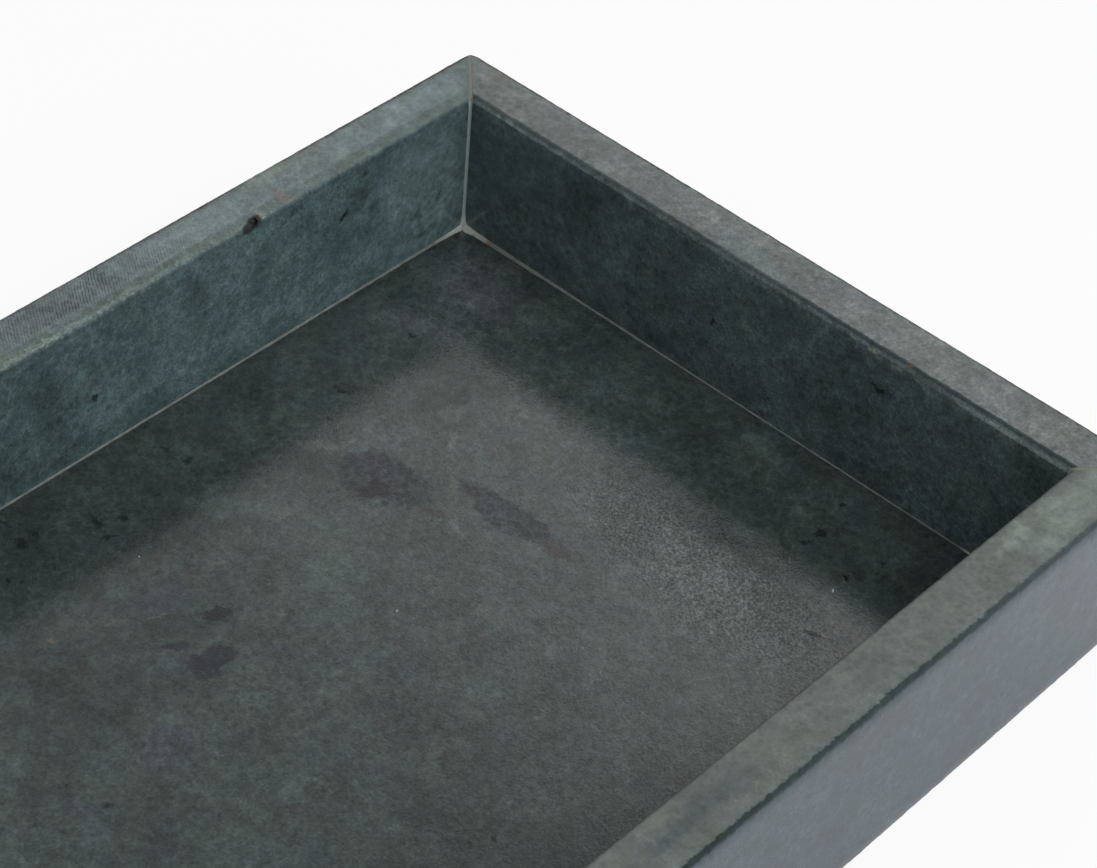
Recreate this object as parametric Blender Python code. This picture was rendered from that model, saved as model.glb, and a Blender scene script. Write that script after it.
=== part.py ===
"""A rectangular marble valet tray: four mitred walls bonded round an inset base slab.

Metres, +Z up. X runs across the tray and Y along it, towards the rear. The origin is the
centre of the footprint, on the surface that the foot pads stand on.
"""

import math

import bmesh
import bpy
from mathutils import Vector

# Overall size of the stone
TRAY_WIDTH = 0.153
TRAY_LENGTH = 0.254
STONE_HEIGHT = 0.0369

# Slabs
WALL_THICKNESS = 0.0105
BASE_THICKNESS = 0.0074
ARRIS_RADIUS = 0.001  # rounding of the walls' edges
ARRIS_SEGMENTS = 4

# Resin joints
MITRE_JOINT = 0.0009  # between two walls at a corner
FLOOR_JOINT = 0.0009  # between the base slab and a wall
BOND_CLEARANCE = 0.0003  # between a bonded piece and its neighbour
BEAD_RISE = 0.0005  # how far a floor bead climbs its wall

# Foot pads
PAD_RADIUS = 0.006
PAD_HEIGHT = 0.0012
PAD_ROUNDING = 0.0003
PAD_MARGIN = 0.006  # from the base slab's edge to the pad's rim
PAD_SIDES = 32
PAD_ROUNDING_SEGMENTS = 2

SMOOTH_ANGLE = math.radians(35)

# Heights that follow
STONE_BOTTOM = PAD_HEIGHT + BOND_CLEARANCE
STONE_TOP = STONE_BOTTOM + STONE_HEIGHT
FLOOR_TOP = STONE_BOTTOM + BASE_THICKNESS

# Half sizes in plan that follow
HALF_OUTER = Vector((TRAY_WIDTH / 2, TRAY_LENGTH / 2, 0))
HALF_INNER = HALF_OUTER - Vector((WALL_THICKNESS, WALL_THICKNESS, 0))
HALF_BASE = HALF_INNER - Vector((FLOOR_JOINT, FLOOR_JOINT, 0))

UP = Vector((0, 0, 1))
PLANE_TOLERANCE = 1e-6

# Each side's name and the direction in which it faces out
SIDES = {
    "left": Vector((-1, 0, 0)),
    "right": Vector((1, 0, 0)),
    "rear": Vector((0, 1, 0)),
    "front": Vector((0, -1, 0)),
}

# Each corner's name and the signs of its x and y
CORNERS = {
    "rear_left": Vector((-1, 1, 0)),
    "rear_right": Vector((1, 1, 0)),
    "front_left": Vector((-1, -1, 0)),
    "front_right": Vector((1, -1, 0)),
}

# Base colour and roughness of each slab and of the bonded pieces
FINISHES = {
    "base_slab": ((0.054, 0.068, 0.064), 0.42),
    "left_wall": ((0.060, 0.088, 0.092), 0.36),
    "right_wall": ((0.135, 0.158, 0.180), 0.34),
    "rear_wall": ((0.042, 0.060, 0.058), 0.34),
    "front_wall": ((0.075, 0.098, 0.098), 0.36),
    "resin": ((0.226, 0.206, 0.168), 0.45),
    "pad": ((0.020, 0.020, 0.021), 0.80),
}


def along_side(half, direction):
    """How far half, a half size in plan, reaches in a direction along X or Y."""
    return abs(half.dot(direction))


def on_corner(half, signs):
    """The point in plan at a corner of the rectangle with this half size."""
    return Vector((half.x * signs.x, half.y * signs.y, 0))


def saw(bm, point, normal):
    """Cuts a solid on a plane, drops what the normal points at and closes the cut."""
    whole = bm.verts[:] + bm.edges[:] + bm.faces[:]
    cut = bmesh.ops.bisect_plane(
        bm, geom=whole, dist=PLANE_TOLERANCE, plane_co=point, plane_no=normal, clear_outer=True
    )
    rim = [item for item in cut["geom_cut"] if isinstance(item, bmesh.types.BMEdge)]
    bmesh.ops.holes_fill(bm, edges=rim)


def box(half, bottom, top):
    """A block of this half size in plan, between two heights."""
    bm = bmesh.new()
    bmesh.ops.create_cube(bm, size=1)
    bmesh.ops.scale(bm, verts=bm.verts, vec=(2 * half.x, 2 * half.y, top - bottom))
    bmesh.ops.translate(bm, verts=bm.verts, vec=(0, 0, (bottom + top) / 2))
    return bm


def round_edges(bm, edges, radius, segments):
    bmesh.ops.bevel(
        bm, geom=edges, offset=radius, segments=segments, profile=0.5, affect="EDGES"
    )


def stone_blank():
    """The whole tray's outer block, with all its edges eased."""
    bm = box(HALF_OUTER, STONE_BOTTOM, STONE_TOP)
    round_edges(bm, bm.edges[:], ARRIS_RADIUS, ARRIS_SEGMENTS)
    return bm


def wall_shape(out):
    """The blank sawn down to the wall on one side: its inner face, its mitres and its inner arris."""
    bm = stone_blank()
    along = UP.cross(out)
    inner_face = out * along_side(HALF_INNER, out)
    saw(bm, inner_face, -out)
    for end in (along, -along):
        corner = out * along_side(HALF_OUTER, out) + end * along_side(HALF_OUTER, end)
        mitre_normal = (end - out).normalized()
        saw(bm, corner - mitre_normal * MITRE_JOINT / 2, mitre_normal)
    inner_arris = [
        edge
        for edge in bm.edges
        if all(
            abs(vert.co.z - STONE_TOP) < PLANE_TOLERANCE
            and abs((vert.co - inner_face).dot(out)) < PLANE_TOLERANCE
            for vert in edge.verts
        )
    ]
    round_edges(bm, inner_arris, ARRIS_RADIUS, ARRIS_SEGMENTS)
    return bm


def mitre_resin_shape(signs):
    """The blank sawn down to the film between two walls, following their outer faces and arrises."""
    bm = stone_blank()
    outward = signs.normalized()
    across = UP.cross(outward)
    outer_corner = on_corner(HALF_OUTER, signs)
    inner_corner = on_corner(HALF_INNER, signs)
    half_film = MITRE_JOINT / 2 - BOND_CLEARANCE
    for normal in (across, -across):
        saw(bm, outer_corner + normal * half_film, normal)
    saw(bm, inner_corner, -outward)
    # A sloped cut keeps the film below both inner arrises, which are longer along the diagonal
    slope_foot = inner_corner + UP * (STONE_TOP - ARRIS_RADIUS)
    saw(bm, slope_foot, UP * math.sqrt(2) - outward)
    return bm


def floor_bead_shape(out):
    """A strip of resin between the base slab and one wall, higher at the wall and mitred at its ends."""
    bm = bmesh.new()
    along = UP.cross(out)
    wall_side = along_side(HALF_INNER, out) - BOND_CLEARANCE
    base_side = along_side(HALF_BASE, out) + BOND_CLEARANCE
    half_run = along_side(HALF_INNER, along)
    profile = (
        (base_side, STONE_BOTTOM),
        (wall_side, STONE_BOTTOM),
        (wall_side, FLOOR_TOP + BEAD_RISE),
        (base_side, FLOOR_TOP),
    )
    verts = [bm.verts.new(out * x + UP * z - along * half_run) for x, z in profile]
    face = bm.faces.new(verts)
    swept = bmesh.ops.extrude_face_region(bm, geom=[face])["geom"]
    moved = [item for item in swept if isinstance(item, bmesh.types.BMVert)]
    bmesh.ops.translate(bm, verts=moved, vec=along * 2 * half_run)
    bmesh.ops.recalc_face_normals(bm, faces=bm.faces)
    for end in (along, -along):
        corner = out * along_side(HALF_INNER, out) + end * half_run
        mitre_normal = (end - out).normalized()
        saw(bm, corner - mitre_normal * BOND_CLEARANCE, mitre_normal)
    return bm


def foot_pad_shape(centre):
    """A round pad with a softened rim, standing at a point on the ground."""
    bm = bmesh.new()
    bmesh.ops.create_cone(
        bm,
        cap_ends=True,
        segments=PAD_SIDES,
        radius1=PAD_RADIUS,
        radius2=PAD_RADIUS,
        depth=PAD_HEIGHT,
    )
    rims = [edge for edge in bm.edges if edge.verts[0].co.z == edge.verts[1].co.z]
    round_edges(bm, rims, PAD_ROUNDING, PAD_ROUNDING_SEGMENTS)
    bmesh.ops.translate(bm, verts=bm.verts, vec=centre + UP * PAD_HEIGHT / 2)
    return bm


def add_piece(name, bm, origin, finish, tray):
    """Makes a solid into a named object of the tray, with its origin at a point of its own."""
    bmesh.ops.translate(bm, verts=bm.verts, vec=-origin)
    mesh = bpy.data.meshes.new(name)
    bm.to_mesh(mesh)
    bm.free()
    mesh.shade_smooth()
    mesh.set_sharp_from_angle(angle=SMOOTH_ANGLE)
    mesh.materials.append(piece_material(name, *FINISHES[finish]))
    piece = bpy.data.objects.new(name, mesh)
    piece.location = origin
    piece.parent = tray
    bpy.context.scene.collection.objects.link(piece)


def piece_material(name, colour, roughness):
    material = bpy.data.materials.new(name)
    material.use_nodes = True
    shader = material.node_tree.nodes["Principled BSDF"]
    shader.inputs["Base Color"].default_value = (*colour, 1)
    shader.inputs["Roughness"].default_value = roughness
    shader.inputs["Metallic"].default_value = 0
    return material


def build_tray():
    tray = bpy.data.objects.new("valet_tray", None)
    bpy.context.scene.collection.objects.link(tray)
    ground = UP * STONE_BOTTOM

    base = box(HALF_BASE, STONE_BOTTOM, FLOOR_TOP)
    add_piece("base_slab", base, ground, "base_slab", tray)

    for side, out in SIDES.items():
        wall = f"{side}_wall"
        wall_centre = out * (along_side(HALF_OUTER, out) - WALL_THICKNESS / 2)
        add_piece(wall, wall_shape(out), ground + wall_centre, wall, tray)
        bead_centre = out * along_side((HALF_INNER + HALF_BASE) / 2, out)
        add_piece(
            f"{side}_floor_bead", floor_bead_shape(out), ground + bead_centre, "resin", tray
        )

    pad_setback = PAD_MARGIN + PAD_RADIUS
    half_pads = HALF_BASE - Vector((pad_setback, pad_setback, 0))
    for corner, signs in CORNERS.items():
        film_centre = on_corner((HALF_OUTER + HALF_INNER) / 2, signs)
        film = mitre_resin_shape(signs)
        add_piece(f"{corner}_mitre_resin", film, ground + film_centre, "resin", tray)
        pad_centre = on_corner(half_pads, signs)
        add_piece(f"{corner}_foot_pad", foot_pad_shape(pad_centre), pad_centre, "pad", tray)


for old in list(bpy.data.objects):
    bpy.data.objects.remove(old)
build_tray()
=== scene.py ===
import math

import bmesh
import bpy
from mathutils import Matrix, Vector, noise


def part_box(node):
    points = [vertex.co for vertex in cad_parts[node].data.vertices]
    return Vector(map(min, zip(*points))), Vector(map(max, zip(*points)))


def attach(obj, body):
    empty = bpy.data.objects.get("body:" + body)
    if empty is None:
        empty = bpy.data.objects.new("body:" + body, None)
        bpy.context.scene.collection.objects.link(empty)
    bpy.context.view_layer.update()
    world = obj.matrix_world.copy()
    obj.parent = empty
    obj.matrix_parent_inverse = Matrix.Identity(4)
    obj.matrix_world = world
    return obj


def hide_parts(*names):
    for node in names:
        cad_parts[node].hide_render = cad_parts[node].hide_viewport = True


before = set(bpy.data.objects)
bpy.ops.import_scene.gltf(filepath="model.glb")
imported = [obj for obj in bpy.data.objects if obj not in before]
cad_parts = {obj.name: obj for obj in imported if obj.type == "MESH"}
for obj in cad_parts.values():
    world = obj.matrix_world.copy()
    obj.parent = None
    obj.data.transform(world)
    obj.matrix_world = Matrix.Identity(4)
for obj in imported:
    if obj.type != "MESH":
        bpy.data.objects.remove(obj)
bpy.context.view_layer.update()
mm = 0.001
perMetre = 1000  # in mm
upward = Vector((0, 0, 1))

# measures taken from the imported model
_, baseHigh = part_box("base_slab")
leftLow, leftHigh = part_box("left_wall")
_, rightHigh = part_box("right_wall")
_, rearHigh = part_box("rear_wall")
wallThickness = leftHigh.x - leftLow.x
outerX, outerY = rightHigh.x, rearHigh.y
innerX, innerY = outerX - wallThickness, outerY - wallThickness
outerHalf, innerHalf = Vector((outerX, outerY, 0)), Vector((innerX, innerY, 0))
stoneBottom, floorTop, rimTop = leftLow.z, baseHigh.z, leftHigh.z
wallHeight = rimTop - stoneBottom
print("frame loaded: tray", round(2 * outerX / mm, 1), "x", round(2 * outerY / mm, 1), "mm")


# small helpers for modelling


def clearSelection():
    if bpy.context.object and bpy.context.mode != "OBJECT":
        bpy.ops.object.mode_set(mode="OBJECT")
    bpy.ops.object.select_all(action="DESELECT")


def addCube(name, low, high):
    clearSelection()
    low, high = Vector(low), Vector(high)
    bpy.ops.mesh.primitive_cube_add(size=1, location=(low + high) / 2, scale=high - low)
    piece = bpy.context.object
    piece.name = piece.data.name = name
    bpy.ops.object.transform_apply()
    return piece


def copyPiece(piece, name):
    clearSelection()
    twin = piece.copy()
    twin.data = piece.data.copy()
    twin.name = twin.data.name = name
    bpy.context.scene.collection.objects.link(twin)
    return twin


def activate(piece):
    clearSelection()
    piece.select_set(True)
    bpy.context.view_layer.objects.active = piece


def editing(piece):
    activate(piece)
    bpy.ops.object.mode_set(mode="EDIT")


def doneEditing():
    bpy.ops.object.mode_set(mode="OBJECT")


def pick(piece, kind, test):  # selects only the edges or faces that pass the test
    bpy.ops.mesh.select_mode(type={"edges": "EDGE", "faces": "FACE"}[kind])
    bpy.ops.mesh.select_all(action="DESELECT")
    shape = bmesh.from_edit_mesh(piece.data)
    for item in getattr(shape, kind):
        if test(item):
            item.select_set(True)
    shape.select_flush_mode()
    bmesh.update_edit_mesh(piece.data)


def span(edge):
    return edge.verts[1].co - edge.verts[0].co


def near(a, b, within=0.02 * mm):
    return abs(a - b) < within


def divide(piece, cuts, axis, least):  # cuts each edge that is longer than this along the axis
    pick(piece, "edges", lambda edge: abs(span(edge)[axis]) > least)
    bpy.ops.mesh.subdivide(number_cuts=cuts)


def cutLengthwise(piece, axis, length, step):  # in two rounds, as one makes 100 cuts at most
    stretches = 10
    divide(piece, stretches - 1, axis, 0.7 * length)
    divide(piece, int(length / stretches / step), axis, 0.08 * length)


def sawOff(piece, point, normal):  # drops what the normal points at and closes the cut
    editing(piece)
    bpy.ops.mesh.select_all(action="SELECT")
    bpy.ops.mesh.bisect(plane_co=point, plane_no=normal, use_fill=True, clear_outer=True)
    doneEditing()


def weightBy(piece, name, weight):  # a vertex group whose weight is worked out from each point's place
    group = piece.vertex_groups.new(name=name)
    for vert in piece.data.vertices:
        value = weight(vert.co)
        if value > 0:
            group.add([vert.index], min(value, 1), "REPLACE")


def displace(piece, strength, level, group="", pattern=None):
    activate(piece)
    modifier = piece.modifiers.new("displace", "DISPLACE")
    modifier.strength = strength
    modifier.mid_level = level
    modifier.vertex_group = group
    if pattern:
        modifier.texture = pattern
        modifier.texture_coords = "LOCAL"
    bpy.ops.object.modifier_apply(modifier=modifier.name)


def roughen(piece, grain, depth, group=""):  # pushes the surface in by up to depth
    pattern = bpy.data.textures.new(f"{piece.name} grain", "CLOUDS")
    pattern.noise_scale = grain
    pattern.noise_depth = 2
    displace(piece, depth, 1.0, group, pattern)


def turnOutward(piece):
    editing(piece)
    bpy.ops.mesh.select_all(action="SELECT")
    bpy.ops.mesh.normals_make_consistent(inside=False)
    doneEditing()


def smoothBelow(piece, degrees):
    activate(piece)
    bpy.ops.object.shade_smooth_by_angle(angle=math.radians(degrees))


def finishPiece(piece, slotName, material, *nodes):
    piece.data.materials.clear()
    piece.data.materials.append(material)
    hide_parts(*nodes)
    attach(piece, "root")


# camera, solved from the photo's edges, placed from the rear left corner of the tray's floor

view = {
    "focalPixels": 3022,
    "imageWidth": 1097,
    "sensor": 36,
    "azimuth": 39.18,
    "elevation": 42.61,
    "roll": 5.31,
    "fromCorner": (27.75, -31.13, 33.53),  # in wall thicknesses
}


def addCamera():
    lens = bpy.data.cameras.new("camera")
    lens.sensor_width = view["sensor"]
    lens.lens = view["focalPixels"] / view["imageWidth"] * view["sensor"]
    camera = bpy.data.objects.new("camera", lens)
    bpy.context.scene.collection.objects.link(camera)
    azimuth, elevation, roll = (math.radians(view[key]) for key in ("azimuth", "elevation", "roll"))
    ahead = Vector((
        -math.sin(azimuth) * math.cos(elevation),
        math.cos(azimuth) * math.cos(elevation),
        -math.sin(elevation),
    ))
    level = Vector((math.cos(azimuth), math.sin(azimuth), 0))
    right = level * math.cos(roll) + level.cross(ahead) * math.sin(roll)
    up = right.cross(ahead)
    corner = Vector((-innerX, innerY, floorTop))
    place = corner + Vector(view["fromCorner"]) * wallThickness
    camera.matrix_world = Matrix.Translation(place) @ Matrix((right, up, -ahead)).transposed().to_4x4()
    bpy.context.scene.camera = camera


addCamera()
print("camera placed")


# stone walls: one ring with eased arrises, then sawn at the mitres, as the tray's maker finishes it

walls = {
    "arris": 1.0 * mm,
    "arrisSteps": 6,
    "arrisReach": 0.8 * mm,  # how far the arris's grain fades out over the flat faces
    "joint": 0.7 * mm,
    "stepAlong": 0.5 * mm,
    "stepAcross": 1.2 * mm,
    "waveGrain": 3.0 * mm,
    "waveDepth": 0.1 * mm,
    "crumbGrain": 0.8 * mm,
    "crumbDepth": 0.12 * mm,
    "wear": {"left": 0.45 * mm, "rear": 0.12 * mm, "right": 0.2 * mm, "front": 0.2 * mm},
    "wearReach": 2.2 * mm,
    "wearFull": 1.15,  # the weight on the edge itself
}

chip = {  # knocked out of the left wall's inner arris
    "along": -53.0 * mm,  # from the rear inner corner
    "inside": 0.1 * mm,  # from the inner face into the stone
    "below": 0.35 * mm,  # from the rim
    "size": (1.1 * mm, 2.5 * mm, 1.3 * mm),
    "turn": (-18, 0, 33),
    "grain": 0.9 * mm,
    "depth": 0.9 * mm,
}

sides = {
    "left": Vector((-1, 0, 0)),
    "right": Vector((1, 0, 0)),
    "rear": Vector((0, 1, 0)),
    "front": Vector((0, -1, 0)),
}


def onArris(place):  # 1 on the rounded edges, fading out over the flat faces beside them
    outside = min(outerX - abs(place.x), outerY - abs(place.y))
    inside = wallThickness - outside
    rim = rimTop - place.z
    foot = place.z - stoneBottom
    corner = max(outerX - abs(place.x), outerY - abs(place.y))
    reach = min(max(outside, rim), max(inside, rim), max(outside, foot), corner)
    return 1 - (reach - walls["arris"]) / walls["arrisReach"]


def reachOut(half, way):  # from the tray's centre to the stone's face in this direction
    return abs(half.dot(way))


def worn(side):  # 1 on the outer arris of this side, fading out over both faces
    out = sides[side]

    def weight(place):
        reach = max(reachOut(outerHalf, out) - place.dot(out), rimTop - place.z)
        return walls["wearFull"] - reach / walls["wearReach"]

    return weight


def wallRing():
    ring = addCube("wall_ring", (-outerX, -outerY, stoneBottom), (outerX, outerY, rimTop))
    editing(ring)
    pick(ring, "faces", lambda face: abs(face.normal.z) > 0.9)
    bpy.ops.mesh.inset(thickness=wallThickness, use_individual=True)
    bpy.ops.mesh.delete(type="FACE")
    pick(ring, "edges", lambda edge: edge.is_boundary)
    bpy.ops.mesh.bridge_edge_loops()

    def easedEdge(edge):
        middle = (edge.verts[0].co + edge.verts[1].co) / 2
        run = [abs(reach) for reach in span(edge)]
        onX, onY = near(abs(middle.x), outerX), near(abs(middle.y), outerY)
        if near(run[2], wallHeight):
            return onX and onY
        if run[2] > mm or (run[0] > mm and run[1] > mm):
            return False
        return onX or onY or near(middle.z, rimTop)

    pick(ring, "edges", easedEdge)
    bpy.ops.mesh.bevel(offset=walls["arris"], segments=walls["arrisSteps"], profile=0.5, affect="EDGES")
    cutLengthwise(ring, 0, 2 * outerX, walls["stepAlong"])
    cutLengthwise(ring, 1, 2 * outerY, walls["stepAlong"])
    divide(ring, int(wallHeight / walls["stepAcross"]), 2, 0.8 * wallHeight)
    for level in (rimTop, stoneBottom):
        pick(ring, "edges", lambda edge: (
            span(edge).length > 0.5 * wallThickness
            and near(edge.verts[0].co.z, level)
            and near(edge.verts[1].co.z, level)
        ))
        bpy.ops.mesh.subdivide(number_cuts=int(wallThickness / walls["stepAcross"]))
    doneEditing()
    for side, depth in walls["wear"].items():
        weightBy(ring, f"{side} wear", worn(side))
        displace(ring, -depth, 0, f"{side} wear")
    weightBy(ring, "arris", onArris)
    roughen(ring, grain=walls["waveGrain"], depth=walls["waveDepth"], group="arris")
    roughen(ring, grain=walls["crumbGrain"], depth=walls["crumbDepth"], group="arris")
    return ring


def mitre(piece, half, out, back=0):  # saws both ends at 45 degrees, this far back from the joint's middle
    along = upward.cross(out)
    for end in (along, -along):
        corner = out * reachOut(half, out) + end * reachOut(half, end)
        normal = (end - out).normalized()
        sawOff(piece, corner - normal * back, normal)


def sawnWall(ring, name, out):
    wall = copyPiece(ring, name)
    mitre(wall, outerHalf, out, walls["joint"] / 2)
    smoothBelow(wall, 35)
    return wall


def knockOut(wall):
    clearSelection()
    bpy.ops.mesh.primitive_ico_sphere_add(subdivisions=5, radius=1)
    flake = bpy.context.object
    flake.scale = chip["size"]
    flake.rotation_euler = [math.radians(angle) for angle in chip["turn"]]
    flake.location = (-innerX - chip["inside"], innerY + chip["along"], rimTop - chip["below"])
    bpy.ops.object.transform_apply()
    roughen(flake, grain=chip["grain"], depth=chip["depth"])
    activate(wall)
    cut = wall.modifiers.new("chip", "BOOLEAN")
    cut.object = flake
    bpy.ops.object.modifier_apply(modifier=cut.name)
    bpy.data.objects.remove(flake)
    smoothBelow(wall, 35)


ring = wallRing()
wallPieces = {side: sawnWall(ring, f"{side}_wall_marble", out) for side, out in sides.items()}
knockOut(wallPieces["left"])
print("walls sawn:", {side: len(wall.data.polygons) for side, wall in wallPieces.items()})


# resin in the joints: a film in each mitre, and a bead along the foot of each wall

films = {
    "overlap": 0.05 * mm,  # hidden inside the stone on each side
    "filletLeg": 0.34 * mm,
    "filletFlare": 1.0 * mm,  # added at the floor
    "flareHeight": 1.6 * mm,
    "filletHollow": 0.3,  # how far its face stands out, as a share of its leg
    "filletWander": 0.35,
    "filletWave": 2.5 * mm,
    "filletFoot": 0.2 * mm,  # hidden below the floor's surface
    "stepUp": 0.4 * mm,
    "grain": 1.2 * mm,
    "depth": 0.06 * mm,
}

corners = {
    "rear_left": Vector((-1, 1, 0)),
    "rear_right": Vector((1, 1, 0)),
    "front_left": Vector((-1, -1, 0)),
    "front_right": Vector((1, -1, 0)),
}


def mitreFilm(ring, name, signs):
    film = copyPiece(ring, name)
    outward = signs.normalized()
    across = upward.cross(outward)
    sawOff(film, Vector(), Vector((-signs.x, 0, 0)))
    sawOff(film, Vector(), Vector((0, -signs.y, 0)))
    corner = Vector((signs.x * outerX, signs.y * outerY, 0))
    half = walls["joint"] / 2 + films["overlap"]
    for normal in (across, -across):
        sawOff(film, corner + normal * half, normal)
    fillet = cornerFillet(f"{name}_fillet", signs)
    activate(film)
    fillet.select_set(True)
    bpy.ops.object.join()
    roughen(film, grain=films["grain"], depth=films["depth"])
    smoothBelow(film, 50)
    return film


def cornerFillet(name, signs):  # the squeezed-out resin down the inner corner, wider at the floor
    top = rimTop - 1.5 * walls["arris"]
    bottom = floorTop - films["filletFoot"]
    fillet = addCube(name, (0, 0, bottom), (1 * mm, 1 * mm, top))
    editing(fillet)
    divide(fillet, int((top - bottom) / films["stepUp"]), 2, 2 * mm)
    doneEditing()
    for vert in fillet.data.vertices:
        rise = vert.co.z - floorTop
        wander = noise.noise(Vector((signs.x * 3, signs.y * 5, vert.co.z / films["filletWave"])))
        leg = films["filletLeg"] * (1 + films["filletWander"] * wander)
        leg += films["filletFlare"] * math.exp(-max(rise, 0) / films["flareHeight"])
        onX, onY = vert.co.x > 0.5 * mm, vert.co.y > 0.5 * mm
        if onX and onY:
            leg *= films["filletHollow"]
        vert.co.x = signs.x * (innerX - (leg if onX else -films["overlap"]))
        vert.co.y = signs.y * (innerY - (leg if onY else -films["overlap"]))
    turnOutward(fillet)
    return fillet


filmPieces = {
    corner: mitreFilm(ring, f"{corner}_mitre_film", signs) for corner, signs in corners.items()
}
print("mitre films made")

beads = {
    "joint": 0.25 * mm,  # between the base slab and the walls
    "lip": 0.02 * mm,  # thickness of the bead's edge on the floor
    "stepAlong": 0.5 * mm,
    "stepsAcross": 5,
    "flare": 0.7 * mm,  # added in the corners
    "flareLength": 2.5 * mm,
    "flareClimb": 0.8,
    "hollow": 2.2,  # the higher, the more hollow the bead's face
    "wave": (3 * mm, 0.3, 0.35),  # size, and how much it changes the width and the climb
    "ruffle": (0.9 * mm, 0.15, -0.15),
    # width on the floor and climb up the wall, at the start, a quarter, half and the end of each run
    "left": ((0.28, 0.16), (0.26, 0.14), (0.28, 0.16), (0.4, 0.24)),
    "rear": ((0.8, 0.4), (0.36, 0.16), (0.26, 0.08), (0.26, 0.1)),
    "right": ((0.5, 0.25), (0.42, 0.22), (0.42, 0.22), (0.5, 0.25)),
    "front": ((0.6, 0.35), (0.45, 0.25), (0.42, 0.22), (0.5, 0.25)),
}


def alongRun(values, share):  # the pair of values at this share of the run
    stops = (0, 0.25, 0.5, 1)
    for start, end, low, high in zip(stops, stops[1:], values, values[1:]):
        if share <= end:
            mix = (share - start) / (end - start)
            return [(a + (b - a) * mix) * mm for a, b in zip(low, high)]
    return [value * mm for value in values[-1]]


def floorBead(side, out):
    along = upward.cross(out)
    if along.x + along.y < 0:
        along = -along  # so that a run starts at the left or at the front
    halfRun = reachOut(innerHalf, along)
    wallFace = reachOut(innerHalf, out)
    bead = addCube(f"{side}_floor_bead_resin", (-halfRun, 0, stoneBottom), (halfRun, 1 * mm, floorTop))
    editing(bead)
    cutLengthwise(bead, 0, 2 * halfRun, beads["stepAlong"])
    pick(bead, "edges", lambda edge: abs(span(edge).y) > 0.5 * mm and edge.verts[0].co.z > stoneBottom)
    bpy.ops.mesh.subdivide(number_cuts=beads["stepsAcross"])
    doneEditing()
    for vert in bead.data.vertices:
        s, q, onTop = vert.co.x, vert.co.y / mm, vert.co.z > stoneBottom + mm
        width, climb = alongRun(beads[side], (s + halfRun) / (2 * halfRun))
        waveSize, *wave = beads["wave"]
        ruffleSize, *ruffle = beads["ruffle"]
        wander = noise.noise(Vector((s / waveSize, wallFace / mm, 0.5)))
        fine = noise.noise(Vector((s / ruffleSize, wallFace / mm, 7.5)))
        width *= 1 + wave[0] * wander + ruffle[0] * fine
        climb *= 1 + wave[1] * wander + ruffle[1] * fine
        flare = beads["flare"] * math.exp(-(halfRun - abs(s)) / beads["flareLength"])
        width += flare
        climb += beads["flareClimb"] * flare
        if onTop:
            depth = wallFace - (1 - q) * max(width, beads["joint"]) + q * films["overlap"]
            height = floorTop + beads["lip"] + climb * q ** beads["hollow"]
        else:
            depth = wallFace - (1 - q) * beads["joint"]
            height = vert.co.z
        place = out * depth + along * s
        vert.co = (place.x, place.y, height)
    turnOutward(bead)
    mitre(bead, innerHalf, out)
    smoothBelow(bead, 60)
    return bead


beadPieces = {side: floorBead(side, out) for side, out in sides.items()}
print("floor beads made")


# base slab, set in between the walls

slab = {
    "ease": 0.1 * mm,
    "step": 2.0 * mm,
    "waveGrain": 18 * mm,
    "waveDepth": 0.06 * mm,
}


def baseSlab():
    halfX, halfY = innerX - beads["joint"], innerY - beads["joint"]
    piece = addCube("base_slab_marble", (-halfX, -halfY, stoneBottom), (halfX, halfY, floorTop))
    editing(piece)
    pick(piece, "edges", lambda edge: abs(span(edge).z) < mm)
    bpy.ops.mesh.bevel(offset=slab["ease"], segments=2, profile=0.5, affect="EDGES")
    for axis, half in enumerate((halfX, halfY)):
        divide(piece, min(int(2 * half / slab["step"]), 100), axis, half)
    doneEditing()
    roughen(piece, grain=slab["waveGrain"], depth=slab["waveDepth"])
    smoothBelow(piece, 35)
    return piece


basePiece = baseSlab()
print("base slab made")


# foot pads, stuck under the base slab

pads = {
    "rounding": 0.35 * mm,
    "adhesiveInset": 0.4 * mm,
    "grooveInset": 1.4 * mm,
    "grooveWidth": 0.6 * mm,
    "grooveDepth": 0.2 * mm,
}


def footPad(corner):
    low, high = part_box(f"{corner}_foot_pad")
    middle = (low + high) / 2
    radius = (high.x - low.x) / 2
    grooveRadius = radius - pads["rounding"] - pads["grooveInset"] - pads["grooveWidth"] / 2
    clearSelection()
    bpy.ops.mesh.primitive_cylinder_add(vertices=72, radius=radius, depth=high.z - low.z, location=middle)
    pad = bpy.context.object
    pad.name = pad.data.name = f"{corner}_rubber_pad"
    bpy.ops.object.transform_apply()
    editing(pad)
    pick(pad, "faces", lambda face: abs(face.normal.z) > 0.9)
    bpy.ops.mesh.bevel(offset=pads["rounding"], segments=4, profile=0.5, affect="EDGES")
    pick(pad, "faces", lambda face: face.normal.z > 0.9 and len(face.verts) > 8)
    bpy.ops.mesh.inset(thickness=pads["adhesiveInset"])
    bpy.ops.mesh.extrude_region_move(TRANSFORM_OT_translate={"value": (0, 0, stoneBottom - high.z)})
    pick(pad, "faces", lambda face: face.normal.z < -0.9 and len(face.verts) > 8)
    bpy.ops.mesh.inset(thickness=pads["grooveInset"])
    bpy.ops.mesh.inset(thickness=pads["grooveWidth"])
    pick(pad, "faces", lambda face: (
        face.normal.z < -0.9
        and len(face.verts) == 4
        and near((face.calc_center_median() - middle).xy.length, grooveRadius, 0.2 * mm)
    ))
    bpy.ops.mesh.extrude_region_move(TRANSFORM_OT_translate={"value": (0, 0, pads["grooveDepth"])})
    doneEditing()
    smoothBelow(pad, 35)
    return pad


padPieces = {corner: footPad(corner) for corner in corners}
print("foot pads made")


# shader maths: a wire is an output socket of a node, and sums of wires add their Math nodes

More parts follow.
